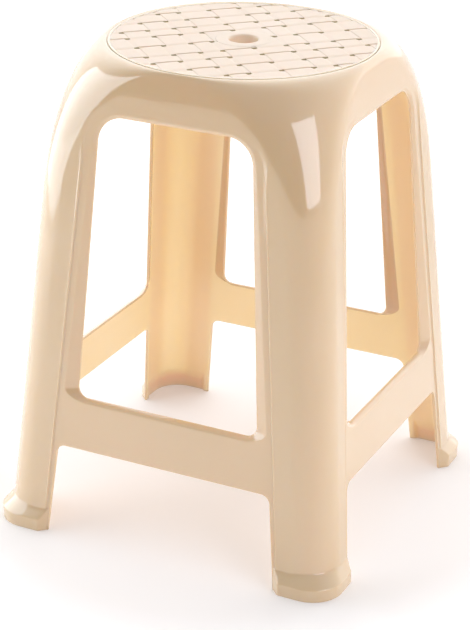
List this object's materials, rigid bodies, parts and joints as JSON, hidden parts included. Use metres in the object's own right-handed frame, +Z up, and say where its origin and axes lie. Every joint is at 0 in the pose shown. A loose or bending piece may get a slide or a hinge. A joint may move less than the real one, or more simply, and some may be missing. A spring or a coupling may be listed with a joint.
{
  "type": "stacking stool",
  "caption": "Square-legged stacking stool with a round woven seat, a finger hole, splayed angle legs joined by stretchers, and flared shoe feet.",
  "frame": {"origin": "on the floor under the middle of the seat", "axes": "+Z up through the finger hole, the front side looks along -Y, +X to its right"},
  "size_m": [0.349, 0.349, 0.45],
  "materials": {
    "shell": "glossy cream polypropylene, smooth off the mould",
    "seat": "the same cream polypropylene with a woven relief",
    "underside": "the same cream polypropylene seen from inside the shell"
  },
  "bodies": {
    "root": {"seat_panel": "seat", "finger_hole_collar": "seat", "seat_rib_1": "underside", "seat_rib_2": "underside", "seat_rib_3": "underside", "seat_rib_4": "underside", "seat_rib_5": "underside", "seat_rib_6": "underside", "seat_rib_7": "underside", "seat_rib_8": "underside", "apron_front": "shell", "apron_right": "shell", "apron_back": "shell", "apron_left": "shell", "stretcher_front": "shell", "stretcher_right": "shell", "stretcher_back": "shell", "stretcher_left": "shell", "shoulder_front_left": "shell", "shoulder_front_right": "shell", "shoulder_back_right": "shell", "shoulder_back_left": "shell", "leg_front_left": "shell", "leg_front_right": "shell", "leg_back_right": "shell", "leg_back_left": "shell", "shoe_front_left": "shell", "shoe_front_right": "shell", "shoe_back_right": "shell", "shoe_back_left": "shell"}
  },
  "joints": []
}
